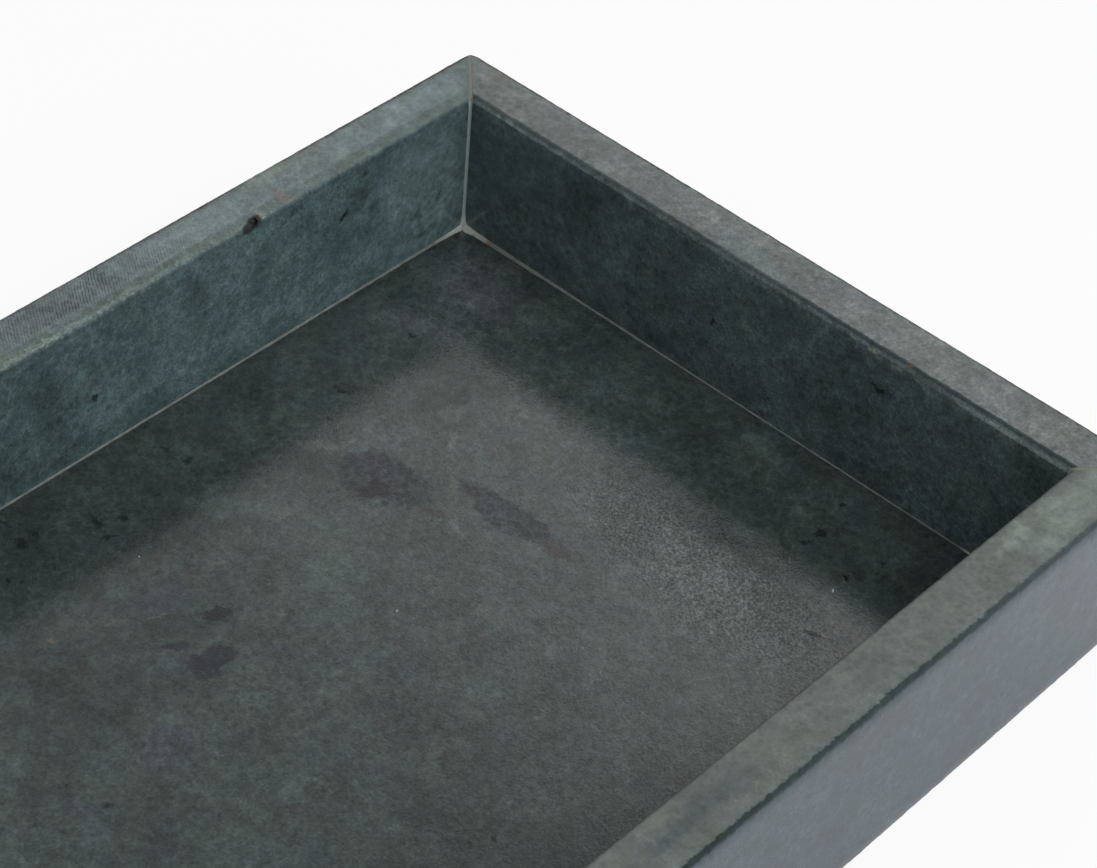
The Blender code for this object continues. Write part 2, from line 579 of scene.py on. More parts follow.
spotRest = (0, 0, 3.0)  # a spot's angle, and its place and reach in mm into the face, if it gives none

noises = {  # size in mm, detail and roughness
    "broad": (9.0, 2, 0.6),
    "mottle": (2.6, 3, 0.75),
    "grain": (0.48, 0, 0.5),
    "pits": (1.3, 2, 0.7),
    "thread": (5.5, 3, 0.6),
    "drift": (6.0, 2, 0.6),
    "jitter": (1.1, 2, 0.7),
    "fray": (0.45, 0, 0.5),
    "region": (11.0, 2, 0.6),
    "hue": (6.0, 3, 0.7),
    "tint": (7.0, 2, 0.6),
    "grit": (0.45, 1, 0.6),
    "waves": (1.6, 3, 0.6),
    "crumbs": (1.3, 2, 0.8),
    "ripple": (0.9, 2, 0.7),
    "sweep": (5.0, 2, 0.6),
    "dirt": (2.4, 4, 0.7),
    "resinGrain": (0.4, 2, 0.7),
    "dust": (3.0, 4, 0.7),
    "rubberGrain": (0.25, 2, 0.7),
}


def operator(name, swapped=False):
    def apply(first, second):
        pair = (second, first) if swapped else (first, second)
        return first.math(name, *pair)

    return apply


class Wire:
    def __init__(self, recipe, socket):
        self.recipe, self.socket = recipe, socket

    def math(self, operation, *values):
        return self.recipe.add("Math", {"operation": operation}, dict(enumerate(values)))

    __add__, __radd__ = operator("ADD"), operator("ADD", True)
    __sub__, __rsub__ = operator("SUBTRACT"), operator("SUBTRACT", True)
    __mul__, __rmul__ = operator("MULTIPLY"), operator("MULTIPLY", True)
    __truediv__ = operator("DIVIDE")
    least, most = operator("MINIMUM"), operator("MAXIMUM")

    def __abs__(self):
        return self.math("ABSOLUTE", self)

    def exp(self):
        return self.math("EXPONENT", self)

    def fade(self, start, end):  # 0 at the start, 1 at the end, eased between them
        inputs = {"Value": self, "From Min": start, "From Max": end}
        return self.recipe.add("MapRange", {"interpolation_type": "SMOOTHSTEP"}, inputs)

    def within(self, low, high, soft):  # 1 between the two values, easing off beyond them
        return self.fade(low - soft, low + soft) * self.fade(high + soft, high - soft)

    def output(self, name):
        return Wire(self.recipe, self.socket.node.outputs[name])


class Recipe:  # the nodes of one material, or of the world
    def __init__(self, name, store=bpy.data.materials):
        self.owner = store.new(name)
        self.owner.use_nodes = True
        self.tree = self.owner.node_tree
        self.shader = self.tree.nodes.get("Principled BSDF")

    def add(self, kind, settings, inputs, output=0):
        node = self.tree.nodes.new(f"ShaderNode{kind}")
        for setting, value in settings.items():
            setattr(node, setting, value)
        self.feed(node, inputs)
        return node if output is None else Wire(self, node.outputs[output])

    def feed(self, node, inputs):
        for name, value in inputs.items():
            socket = node.inputs[name]
            if isinstance(value, Wire):
                self.tree.links.new(value.socket, socket)
            else:
                socket.default_value = (*value, 1) if socket.type == "RGBA" else value

    def vectors(self, operation, *values, output=0):
        return self.add("VectorMath", {"operation": operation}, dict(enumerate(values)), output)

    def scaled(self, vector, factor):
        return self.add("VectorMath", {"operation": "SCALE"}, {"Vector": vector, "Scale": factor})

    def blend(self, share, first, second, kind="MIX"):
        inputs = {0: share, 6: first, 7: second}
        return self.add("Mix", {"data_type": "RGBA", "blend_type": kind}, inputs, 2)

    def parts(self, vector):
        across = self.add("SeparateXYZ", {}, {"Vector": vector})
        return across, across.output("Y"), across.output("Z")

    def millimetres(self, shift=(0, 0, 0)):  # the piece's own coordinates, with the shift taken off
        coordinates = self.add("TexCoord", {}, {}, "Object")
        centre = [-value * perMetre for value in shift]
        inputs = {"Vector": coordinates, "Location": centre, "Scale": (perMetre, perMetre, perMetre)}
        return self.add("Mapping", {}, inputs)

    def clouds(self, place, layer, output="Fac"):
        size, detail, roughness = noises[layer]
        inputs = {"Vector": place, "Scale": 1 / size, "Detail": detail, "Roughness": roughness}
        return self.add("TexNoise", {}, inputs, output)

    def cells(self, place, size, output="Distance"):
        return self.add("TexVoronoi", {}, {"Vector": place, "Scale": 1 / size}, output)

    def scatter(self, place, layer):  # a random step at each place, in any direction
        return self.vectors("SUBTRACT", self.clouds(place, layer, "Color"), (0.5, 0.5, 0.5))

    def pushed(self, place, *pushes):  # the place moved by each step times its strength
        for step, strength in pushes:
            place = self.vectors("ADD", place, self.scaled(step, strength))
        return place

    def patches(self, place, spots):  # how far the nearest of the spots is, 1 at its outline
        nearest = None
        for spot in spots:
            x, y, long, short, angle, z, reach = (*spot, *spotRest[len(spot) - 4:])
            centre, turn, size = (x, y, z), (0, 0, math.radians(angle)), (long, short, reach)
            inputs = {"Vector": place, "Location": centre, "Rotation": turn, "Scale": size}
            seen = self.add("Mapping", {"vector_type": "TEXTURE"}, inputs)
            away = self.vectors("LENGTH", seen, output="Value")
            nearest = away if nearest is None else nearest.least(away)
        return nearest

    def bump(self, height, depth, normal=None):
        inputs = {"Height": height, "Distance": depth, "Strength": 1.0}
        if normal:
            inputs["Normal"] = normal
        return self.add("Bump", {}, inputs)

    def finish(self, constants, **wires):
        self.feed(self.shader, constants)
        self.feed(self.shader, {name.replace("_", " "): wire for name, wire in wires.items()})
        return self.owner


# green marble: one stone for every slab, with each slab's own marks and finishes

stone = {
    "tumble": (0.9, 0.5, 0.7),  # turns the pattern, so that no face lies along the noise's own lattice
    "broadDepth": 1.35,
    "mottleDepth": 1.4,
    "grainDepth": 1.15,
    "crystalSize": 0.55,  # sizes in mm
    "crystalDepth": 0.2,
    "clastSize": 1.25,
    "clastDepth": 0.3,
    "clastPush": 0.9,
    "netLeast": 0.15,
    "netDepth": 0.7,
    "netEdge": (0.42, 0.6),
    "pitEdge": (0.4, 0.27),
    "pitDark": 0.12,
    "threadWidth": 0.012,
    "threadEdge": (0.6, 0.4),
    "threadDepth": 0.35,
    "warp": 4.0,
    "ragged": (5.0, 1.6, 0.9),  # how far a mark's outline strays, in large, small and finest steps
    "steadyPush": 0.8,
    "hueEdge": (0.36, 0.64),
    "beige": (1.015, 1.015, 0.925),
    "blue": (0.98, 1.0, 1.065),
    "tintEdge": (0.38, 0.62),
    "violet": (0.998, 0.988, 1.055),
    # ink, where its edge starts to fade, and how strongly it covers
    "inks": {
        "mint": ((0.05, 0.08, 0.07), 0.1, 0.35),
        "lilac": ((0.036, 0.047, 0.06), 0.75, 0.85),
        "slate": ((0.076, 0.088, 0.096), 0.1, 0.8),
        "plum": ((0.016, 0.018, 0.025), 0.7, 0.85),
        "murk": ((0.022, 0.031, 0.03), 0.0, 0.7),
        "purple": ((0.011, 0.014, 0.021), 0.82, 0.95),
        "rose": ((0.036, 0.033, 0.032), 0.7, 0.85),
        "wine": ((0.011, 0.01, 0.015), 0.75, 0.9),
        "cream": ((0.086, 0.102, 0.09), 0.45, 0.6),
        "rust": ((0.12, 0.082, 0.054), 0.5, 0.7),
        "black": ((0.01, 0.013, 0.013), 0.35, 0.88),
        # chipped: partly the dark broken stone and partly painted shade in the chip's hollow
        "chippedAndShaded": ((0.016, 0.015, 0.016), 0.7, 0.95),
        "crumb": ((0.22, 0.24, 0.205), 0.3, 0.8),
        "dim": ((0.028, 0.04, 0.038), 0.0, 0.65),
        "pale": ((0.052, 0.07, 0.066), 0.0, 0.6),
        "haze": ((0.096, 0.146, 0.16), 0.0, 0.7),
        "mist": ((0.118, 0.168, 0.17), 0.0, 0.75),
        "streak": ((0.022, 0.028, 0.028), 0.5, 0.85),
        "fleck": ((0.38, 0.4, 0.38), 0.6, 0.9),
        "mauve": ((0.106, 0.131, 0.148), 0.3, 0.75),
        "blush": ((0.2, 0.15, 0.135), 0.2, 0.6),
        "frost": ((0.175, 0.215, 0.188), 0.0, 0.8),
        "shade": ((0.038, 0.057, 0.069), 0.0, 0.6),
        "ash": ((0.107, 0.139, 0.145), 0.0, 0.7),
        "frosted": ((0.074, 0.094, 0.089), 0.0, 0.7),
        "moss": ((0.03, 0.06, 0.052), 0.2, 0.7),
    },
    "broken": ("purple", "lilac"),  # inks that lie in separate clasts
    # inks that take less polish
    "dull": ("purple", "plum", "wine", "black", "rose", "chippedAndShaded", "dim", "murk"),
    "raw": ("chippedAndShaded",),  # and those that take none
    "steady": ("chippedAndShaded", "crumb", "fleck"),  # inks that stay at their exact place
    "markEdge": 1.1,
    "dullShare": 0.9,
    "rawRoughness": 0.8,
    "polish": 0.14,
    "shine": 0.3,  # how much of a second gloss lies over the stone, and how it changes from grain to grain
    "shineCrystal": 0.35,
    "shineGrit": 1.0,
    "shineEtched": 4.4,
    "shineMottle": 0.3,
    "etchedRoughness": 0.14,  # added where the polish is coarser
    "etchedGrit": 5,
    "waveRoughness": 0.2,
    "clastRoughness": 0.06,
    "gritDepth": 0.022 * mm,
    "waveDepth": 0.014 * mm,
}


def stoneTone(recipe, moved, warped, region, jitter):  # lightness, from broad clouds to the finest grain
    broad = recipe.clouds(warped, "broad") - 0.5
    mottle = recipe.clouds(moved, "mottle") - 0.5
    grain = recipe.clouds(moved, "grain") - 0.5
    crystal = recipe.parts(recipe.cells(moved, stone["crystalSize"], "Color"))[0] - 0.5
    nearby = recipe.cells(recipe.pushed(moved, (jitter, stone["clastPush"])), stone["clastSize"])
    shade, polish, _ = recipe.parts(nearby.output("Color"))
    tone = broad * stone["broadDepth"] + mottle * stone["mottleDepth"]
    tone = tone + (shade - 0.5) * stone["clastDepth"]

    # dark clasts in a paler net, in some regions only
    netted = stone["netLeast"] + (1 - stone["netLeast"]) * region.fade(*stone["netEdge"])
    tone = tone + (nearby - 0.48) * netted * stone["netDepth"]
    pits = recipe.clouds(moved, "pits").fade(*stone["pitEdge"])
    thread = abs(recipe.clouds(warped, "thread") - 0.5).fade(stone["threadWidth"], 0)
    threads = thread * region.fade(*stone["threadEdge"])
    tone = tone - pits * stone["pitDark"] + threads * stone["threadDepth"]
    grain = grain * stone["grainDepth"] + crystal * stone["crystalDepth"]
    return tone, grain, polish, shade, nearby, crystal, mottle


def marble(name, look):
    recipe = Recipe(name)
    place = look["face"](recipe, recipe.millimetres((-innerX, innerY, floorTop)))
    moved = recipe.vectors("ADD", place, look["shift"])
    moved = recipe.add("Mapping", {}, {"Vector": moved, "Rotation": stone["tumble"]})
    drift = recipe.scatter(moved, "drift")
    jitter = recipe.scatter(moved, "jitter")
    warped = recipe.pushed(moved, (drift, stone["warp"]))
    region = recipe.clouds(warped, "region")
    tone, grain, polish, shade, nearby, crystal, mottle = stoneTone(recipe, moved, warped, region, jitter)

    # colour: a dark grey green that drifts between beige and blue, and in places to violet
    hue = recipe.clouds(warped, "hue").fade(*stone["hueEdge"])
    tint = recipe.clouds(warped, "tint").fade(*stone["tintEdge"])
    colour = recipe.blend(hue * look["drift"], stone["beige"], stone["blue"])
    tinted = recipe.blend(1.0, colour, stone["violet"], "MULTIPLY")
    colour = recipe.blend(tint * look["drift"], colour, tinted)
    cover = look["finish"](recipe, place, moved)
    rough, etched = cover["rough"], cover["etched"]
    # the etched patch paints the grain stronger here: on the floor this is the speckled glare of the key
    # light, a painted highlight
    tone = (tone * cover["calm"] + grain * (cover["crisp"] + etched)).exp()
    colour = recipe.scaled(recipe.blend(1.0, cover["colour"], colour, "MULTIPLY"), tone)

    # the marks named for this slab, with ragged outlines
    fray = recipe.scatter(moved, "fray")
    ragged = recipe.pushed(place, *zip((drift, jitter, fray), stone["ragged"]))
    steady = recipe.pushed(place, (jitter, stone["steadyPush"]))
    bright = 1.0
    for kind, spots in look["marks"].items():
        ink, start, share = stone["inks"][kind]
        seen = steady if kind in stone["steady"] else ragged
        mask = recipe.patches(seen, spots).fade(stone["markEdge"], start)
        if kind in stone["broken"]:
            mask = mask * (0.6 + 0.4 * shade.fade(0.1, 0.45)) * (1 - 0.35 * nearby.fade(0.4, 0.65))
        colour = recipe.blend(mask * share, colour, recipe.scaled(ink, tone))
        if kind in stone["dull"]:
            bright = bright * (1 - mask * stone["dullShare"])
        if kind in stone["raw"]:
            rough = rough.most(mask * stone["rawRoughness"])

    grit = recipe.clouds(moved, "grit")
    uneven = crystal * stone["shineCrystal"] + mottle * stone["shineMottle"]
    uneven = uneven + (grit - 0.5) * (stone["shineGrit"] + etched * stone["shineEtched"])
    shine = ((uneven + stone["shine"]) * cover["gloss"] * bright).most(0).least(1)
    grit = grit * (1 + etched * stone["etchedGrit"])
    waves = recipe.clouds(moved, "waves")
    rough = rough + (waves - 0.5) * stone["waveRoughness"] + (polish - 0.5) * stone["clastRoughness"]
    rough = rough + etched * stone["etchedRoughness"]
    normal = recipe.bump(grit, stone["gritDepth"])
    normal = recipe.bump(waves * cover["waviness"] + cover["saw"], stone["waveDepth"], normal)
    constants = {"IOR": 1.5, "Coat Roughness": 0.2}
    return recipe.finish(constants, Base_Color=colour, Roughness=rough, Normal=normal, Coat_Weight=shine)


# base slab: polished on top, sawn below

base = {
    "polished": (0.0395, 0.055, 0.0515),
    "sawn": (0.095, 0.125, 0.125),
    "sawnRoughness": 0.6,
    "sawnFrom": (-6.6, -7.2),  # height in mm
    "sawSpacing": 1.3,
    "sawSlant": 0.06,
    "sawFirm": 0.5,
    # etched: where the polish is coarser, and where its grain is painted stronger as the speckled glare of
    # the key light, a painted highlight
    "etched": [(90, -36, 36, 14, -6)],  # where the polish is coarser
    "etchedAndGlareShare": 0.9,
    "marks": {  # x and y from the rear left corner, two radii, and the angle if there is one
        # the dim and murk patches here are mostly painted shade: darker bands beside the left and rear
        # walls, where the walls shade the floor and darken what it mirrors
        "dim": [
            (8, -87, 13, 60), (42, -126, 30, 14, 20), (80, -17, 31, 13), (38, -104, 13, 14),
            (27, -64, 7, 7),
        ],
        # murk: mostly more painted shade beside the left and rear walls
        "murk": [
            (20, -92, 10, 46), (31, -34, 9, 16, 10), (88, -27, 16, 5), (66, -13, 13, 8), (25, -30, 10, 9),
            (12, -108, 14, 9, -10),
        ],
        "pale": [(107, -82, 12, 24), (40, -22, 14, 5)],
        # the first frosted patch lies on the etched patch: a painted highlight, the key light's glare
        # painted lighter
        "frosted": [(96, -40, 30, 15, -4), (112, -56, 14, 20), (57, -124, 10, 11)],
        "mint": [
            (24.5, -82.5, 8, 5, 20), (41.4, -71.7, 9, 6, 60), (39.3, -100.7, 7, 5), (48.5, -78.4, 6, 4),
        ],
        "purple": [(38.2, -58.9, 9, 5.6, 10), (58.7, -49.9, 12, 3.2)],
        "lilac": [(58, -125.5, 4.4, 6.6), (57.3, -142.4, 3.5, 2.5), (34.1, -104.3, 5.4, 3.2, 56)],
        "plum": [(48.7, -107.4, 5, 2.9, 85), (43, -108.8, 1.9, 1.4, 56)],
        "slate": [(14, -12, 19, 12, -20), (14, -26, 13, 5, 15)],
        "rose": [(49.6, -58.1, 2.8, 1.2, 20), (69.8, -49.9, 3.4, 1.8)],
        "rust": [(26.3, -20.7, 0.7, 0.5), (27.9, -123.6, 0.8, 0.5, 50)],
        "wine": [(39, -62, 2.4, 1.7, 30), (42.5, -100.7, 3, 2, 60), (111.3, -34.2, 1.2, 0.8, 50)],
        "cream": [
            (34.4, -37.7, 3.6, 2.4, 56), (25.6, -59.8, 5.6, 1.5, 52), (36.5, -107.6, 3.4, 0.45, 58),
            (38.9, -43.5, 5, 0.7, -45), (46.5, -50.2, 6, 0.7, -50), (54.1, -57.2, 3.5, 0.9, -35),
        ],
        "streak": [(31.3, -96.8, 2, 0.55, 66), (28.3, -101.3, 1.4, 0.5, 60), (52.2, -103.1, 0.8, 0.7)],
        "fleck": [
            (61.3, -78.9, 0.35, 0.16, -60), (107.4, -23.6, 0.45, 0.12, -50), (23.8, -100.7, 0.22, 0.15),
        ],
        "black": [
            (11.8, -79.6, 1.7, 0.7, 30), (7.3, -81.4, 1.2, 0.6, 20), (14.7, -95.8, 1.5, 1.1),
            (13.3, -100.4, 1.7, 1.3), (17.5, -101, 1.9, 0.6, 60), (9, -112.8, 2.1, 1.1, -40),
            (8.2, -110.4, 1.3, 0.8), (3.1, -111.9, 1, 0.7), (13.4, -119, 1, 0.7), (17.7, -48, 1.8, 0.9, 20),
            (21.1, -54.9, 0.9, 0.6), (15.7, -29.9, 1, 0.8), (97.7, -15.1, 1.3, 1.8, 10),
            (96.3, -7.2, 1.3, 0.9), (97.1, -18.4, 1.3, 0.8), (107, -20, 1.1, 0.7), (108.9, -12.5, 1, 0.7),
            (104.5, -101.1, 1.2, 1), (60.4, -138.5, 1.8, 1.2),
        ],
    },
}


def floorFinish(recipe, place, _):
    along, across, height = recipe.parts(place)
    below = height.fade(*base["sawnFrom"])
    colour = recipe.blend(below, base["polished"], base["sawn"])
    rough = stone["polish"] + below * (base["sawnRoughness"] - stone["polish"])
    ridge = (along + across * base["sawSlant"]) * (2 * math.pi / base["sawSpacing"])
    etched = recipe.patches(place, base["etched"]).fade(1.0, 0.3) * base["etchedAndGlareShare"]
    saw = ridge.math("SINE", ridge) * below * base["sawFirm"]
    return {
        "colour": colour, "rough": rough, "saw": saw, "waviness": 1.0,
        "calm": 0.92 - below * 0.4, "crisp": 0.6, "gloss": 1 - below, "etched": etched,
    }


# walls: polished faces, honed tops with saw marks, and arrises with bands of dark and crumbling stone; on
# the rear arris the dark and pale bands are partly painted reflection

wallLook = {
    "inner": {"left": (0.069, 0.11, 0.123), "rear": (0.068, 0.096, 0.103)},
    "top": {"left": (0.144, 0.186, 0.193), "rear": (0.135, 0.156, 0.156), "right": (0.108, 0.128, 0.121)},
    "outer": {"right": (0.0455, 0.071, 0.094)},
    "unseen": {"inner": (0.064, 0.096, 0.102), "top": (0.12, 0.145, 0.143), "outer": (0.06, 0.088, 0.102)},
    "topFrom": (0.5, 0.1),  # mm down from the rim
    "outerFrom": (9.3, 9.9),  # mm into the stone
    "innerHalf": (6.0, 4.0),
    "topRoughness": 0.5,
    "calm": {  # how strongly the stone is mottled on the inner face, the top and the outside
        "left": (0.88, 0.68, 0.7),
        "rear": (0.92, 0.75, 0.7),
        "right": (0.8, 0.62, 0.6),
        "front": (0.85, 0.75, 0.7),
    },
    "crisp": {  # and how strong its finest grain is
        "left": (0.72, 0.5, 0.4),
        "rear": (0.75, 0.6, 0.4),
        "right": (0.5, 0.22, 0.22),
        "front": (0.6, 0.5, 0.4),
    },
    "crispFrom": {"left": (-5, -40), "rear": (5, 60), "right": (20, 10), "front": (-20, -10)},
    "brokenTo": {"left": 1.0, "rear": 0.3, "right": 0.6, "front": 0.4},  # mm down the inner face
    "drift": {"left": 0.55, "rear": 0.5, "right": 0.5, "front": 0.8},  # how far the colour drifts to blue
    "shifts": {"left": (300, 0, 70), "right": (900, 40, 10), "rear": (0, 500, 30), "front": (70, 800, 0)},
    # bands across the inner arris: colour, from and to in mm down from the top (the arris is 0), softness,
    # raggedness, share, share away from its firmest stretch, and where along the wall that stretch is
    "bandSweep": 0.7,
    "crumbsFrom": 0.7,  # bands more ragged than this crumble
    "crumbs": (0.4, (0.44, 0.56)),  # least share and edge
    "bands": {
        "left": [
            ((0.064, 0.092, 0.08), -2.4, -0.6, 0.35, 1.0, 0.95, 0.65, (-50, -75)),
            ((0.08, 0.118, 0.1), -0.8, 0.1, 0.12, 0.8, 0.9, 0.8, (-60, -80)),
            ((0.165, 0.22, 0.188), -0.75, -0.25, 0.08, 3.0, 0.65, 0.3, (-50, -75)),
            ((0.15, 0.19, 0.184), 0.1, 1.1, 0.2, 1.2, 0.95, 0.05, (-70, -86)),
            ((0.02, 0.03, 0.034), 0.7, 2.2, 0.3, 2.2, 0.45, 0.1, (-60, -90)),
        ],
        # rear: the dark band at the top of the arris is painted reflection of the dark room overhead; the
        # two pale bands below it are partly painted highlight of a bright light on the rounded edge and
        # partly worn, crumbling edge
        "rear": [
            ((0.013, 0.027, 0.031), -1.1, -0.05, 0.2, 0.55, 0.95, 0.8, (40, 90)),
            ((0.28, 0.35, 0.365), 0.5, 1.35, 0.15, 0.4, 0.9, 0.0, (102, 118)),
            ((0.185, 0.23, 0.236), 0.4, 1.0, 0.15, 0.6, 0.75, 0.5, (45, 25)),
            ((0.115, 0.14, 0.135), 0.9, 2.4, 0.5, 2.4, 0.45, 0.0, (20, 70)),
        ],
        "right": [((0.06, 0.08, 0.068), -0.6, 0.9, 0.3, 0.5, 0.6, 0.6, (0, 1))],
        "front": [
            ((0.034, 0.05, 0.044), -1.2, 0.6, 0.25, 0.6, 0.8, 0.5, (40, 90)),
            ((0.16, 0.19, 0.18), -0.2, 0.5, 0.2, 1.0, 0.6, 0.2, (30, 70)),
        ],
    },
    # the dark band over the outer arris: its colour, how far in and down it reaches, its least share, and
    # between which places along the wall that grows to all of it
    "outerRagged": (1.4, 0.8),
    "outerUpper": -0.4,  # where the band is full
    "outerLower": 0.15,  # and the share of its lower reach where it still is
    "outerHalf": (6.0, 8.0),
    "outerShare": 0.92,
    "outerRoughness": 0.9,
    "outerGloss": 0.3,
    "outerEdge": {
        "left": ((0.06, 0.058, 0.054), 2.6, 1.3, 1.0, (0, -1)),
        "rear": ((0.06, 0.06, 0.055), 1.4, 1.3, 1.0, (0, 1)),
        "right": ((0.011, 0.024, 0.021), 0.9, 1.9, 0.7, (-12, -62)),
        "front": ((0.04, 0.055, 0.048), 1.4, 1.3, 1.0, (0, 1)),
    },
    # slant of the saw marks, how firm they are, their spacing in mm, and where along the wall they are
    # firmest and how far from there they end
    "sawWander": (0.7, 0.12),
    "saw": {
        "left": (0.56, 7.0, 0.53, -98, 42),
        "right": (0.2, 0.2, 0.7, -60, 90),
        "rear": (0.3, 0.5, 0.6, 60, 60),
        "front": (0.3, 0.8, 0.7, 60, 60),
    },
    "marks": {  # along, height above the floor, two radii, and angle, depth into the stone and reach there
        "left": {
            "haze": [
                (-60, 7.3, 60, 2.8, 2), (-90, 10.6, 18, 3, 10), (-6, 10, 22, 20), (-17, 17, 14, 14),
                (-27, 6, 9, 9), (-56, 15, 4, 6), (-66, 9, 6, 5), (-6, 16, 6, 5), (-27, 7, 5, 8),
                (-16, 26, 5, 3), (-9, 2, 9, 2.5),
            ],
            "mist": [(-6, 13, 13, 20), (-16, 18, 8, 14)],
            "dim": [
                (-106, 7, 16, 9), (-28, 22, 4.5, 5), (-88, 2, 7, 3), (-98, 12, 6, 14), (-66, 21, 5, 4),
                (-97, 3, 14, 3.5), (-79.9, 29.5, 1.5, 1, 0, 6.7, 0.7),
            ],
            "frost": [(-40, 29.5, 13, 5, 0, 8.5)],
            "ash": [(-95, 29.5, 34, 8, 0, 4), (-88, 29.5, 30, 8, 0, 8.6)],
            "mauve": [(-102, 29.5, 26, 3, 0, 5)],
            "blush": [(-44.6, 29.5, 1.5, 1, 0, 2.2)],
            "moss": [
                (-63.8, 15.8, 1.4, 1), (-6.8, 10.6, 2.6, 1.1, 30), (-13.6, 9.3, 2.4, 1.8),
                (-11.4, 4.2, 2, 1.1, 20), (-19.3, 2.9, 2.6, 1.3, 20),
            ],
            "crumb": [(-50.6, 29.4, 0.8, 0.6, 0, 0.7)],
            # the chip is painted dark: partly broken stone, partly painted shade in its hollow
            "chippedAndShaded": [(-53.9, 28.7, 1.7, 1.2, 0, 0.1, 1), (-52.4, 29, 1.8, 1.4, 0, 0.6, 1.1)],
            "murk": [
                (-31.3, 19, 2, 1.7), (-23.5, 17.1, 2.2, 1.5, 30), (-26.8, 25.5, 1.7, 1.4),
                (-43.4, 26.6, 1.7, 1.2), (-52, 14, 1.7, 1, 20),
            ],
            "black": [(-31.3, 18.6, 1.1, 0.9, 30), (-89.1, 11.4, 1.3, 0.9)],
        },
        "right": {
            "frost": [(-4, 29.5, 18, 8, 0, 4), (-19, 29.5, 9, 1.5, 0, 3), (-8, 29.5, 14, 8, 0, 6.5)],
            "shade": [(-98, 29.5, 20, 8, 0, 5), (-66, 23, 40, 11, 0, 10.5)],
            "black": [(-98.5, 12, 1.6, 1, 0, 10)],
        },
        "rear": {
            "haze": [(37, 12.3, 14, 2.2), (108, 3, 9, 4)],
            "dim": [(29, 21, 8, 12), (42, 21, 5, 4), (124, 25, 6, 5), (47, 2, 9, 3)],
            "ash": [(64, 29.5, 14, 3, 0, 3)],
            "rust": [(98.5, 29.5, 0.6, 0.4, 0, 1.4)],
            "crumb": [(91.9, 28.3, 1.4, 0.6, 10), (97.6, 28, 1, 0.6, 20), (101.4, 28, 0.8, 0.4)],
            "black": [(59.3, 14.4, 1.2, 0.8), (94.5, 21.4, 1.4, 0.9)],
        },
        "front": {"purple": [(50, 12, 6, 3, 10), (60, 14, 5, 2, 0, 10)], "black": [(90, 18, 1.3, 0.9)]},
    },
}


def wallFace(side):  # along the wall, up, and into the stone, from the rear left corner of the floor
    inward = sides[side]
    along = (abs(inward.y), abs(inward.x), 0)
    offset = 2 * max(inward.x * innerX, -inward.y * innerY, 0) / mm

    def face(recipe, place):
        def measured(direction):
            return recipe.vectors("DOT_PRODUCT", place, direction, output="Value")

        inputs = {"X": measured(along), "Y": measured((0, 0, 1)), "Z": measured(inward) - offset}
        return recipe.add("CombineXYZ", {}, inputs)

    return face


def arrisBands(recipe, side, colour, fold, along, ripple, sweep, inward, moved):
    least, limits = wallLook["crumbs"]
    crumbs = least + (1 - least) * recipe.clouds(moved, "crumbs").fade(*limits)
    for ink, start, end, soft, ragged, share, elsewhere, stretch in wallLook["bands"][side]:
        bent = fold + ripple * ragged + sweep * ragged * wallLook["bandSweep"]
        band = bent.within(start, end, soft) * inward
        firm = elsewhere + (share - elsewhere) * along.fade(*stretch)
        whole = crumbs if ragged > wallLook["crumbsFrom"] else 1
        colour = recipe.blend(band * firm * whole, colour, ink)
    return colour


def outerBand(side, drop, depth, along, ripple, sweep):
    _, across, down, least, stretch = wallLook["outerEdge"][side]
    ragged = [push * share for push, share in zip((ripple, sweep), wallLook["outerRagged"])]
    fold = drop - wallThickness / mm + depth + ragged[0] + ragged[1]
    band = fold.fade(-across, wallLook["outerUpper"]) * fold.fade(down, wallLook["outerLower"] * down)
    return band * depth.fade(*wallLook["outerHalf"]) * (least + (1 - least) * along.fade(*stretch))


def sawMarks(side, along, depth, fold, ripple, sweep):  # they run across the top, and come and go
    slant, firm, spacing, middle, reach = wallLook["saw"][side]
    wide, narrow = wallLook["sawWander"]
    track = along * math.cos(slant) - depth * math.sin(slant) + sweep * wide + ripple * narrow
    patchy = abs(along - middle).fade(reach, reach * 0.3) * (0.25 + sweep.fade(-0.15, 0.15))
    patchy = patchy * (0.4 + ripple.fade(-0.12, 0.12)) * fold.fade(-1.6, -3.2)
    ridge = track * (2 * math.pi / spacing)
    return ridge.math("SINE", ridge), patchy * firm


def wallFinish(side):
    rim = (rimTop - floorTop) / mm
    inks = {part: wallLook[part].get(side, unseen) for part, unseen in wallLook["unseen"].items()}

    def finish(recipe, place, moved):
        along, height, depth = recipe.parts(place)
        ripple = recipe.clouds(moved, "ripple") - 0.5
        sweep = recipe.clouds(moved, "sweep") - 0.5
        drop = rim - height
        fold = drop - depth  # 0 on the inner arris
        top = drop.fade(*wallLook["topFrom"])
        outer = depth.fade(*wallLook["outerFrom"])
        inward = depth.fade(*wallLook["innerHalf"])  # keeps the inner arris's bands off the outer face
        colour = recipe.blend(outer, inks["inner"], inks["outer"])
        colour = recipe.blend(top, colour, inks["top"])
        colour = arrisBands(recipe, side, colour, fold, along, ripple, sweep, inward, moved)
        dark = outerBand(side, drop, depth, along, ripple, sweep)
        colour = recipe.blend(dark * wallLook["outerShare"], colour, wallLook["outerEdge"][side][0])
        edge = (fold.within(-1.2, wallLook["brokenTo"][side], 0.3) * inward).most(dark)
        rough = stone["polish"] + top.most(edge) * (wallLook["topRoughness"] - stone["polish"])
        rough = rough.most(dark * wallLook["outerRoughness"])
        lines, patchy = sawMarks(side, along, depth, fold, ripple, sweep)

        def shared(values):
            inside, above, outside = values
            return inside + top * (above - inside) + outer * (1 - top) * (outside - inside)

        clear = 0.4 + 0.6 * along.fade(*wallLook["crispFrom"][side])
        return {
            "colour": colour, "rough": rough, "saw": lines * top * patchy, "waviness": clear,
            "calm": shared(wallLook["calm"][side]), "crisp": shared(wallLook["crisp"][side]) * clear,
            "gloss": (1 - top.most(edge)) * (1 - outer * (1 - wallLook["outerGloss"])), "etched": 0.0,
        }

    return finish


# resin in the joints, rubber under the base

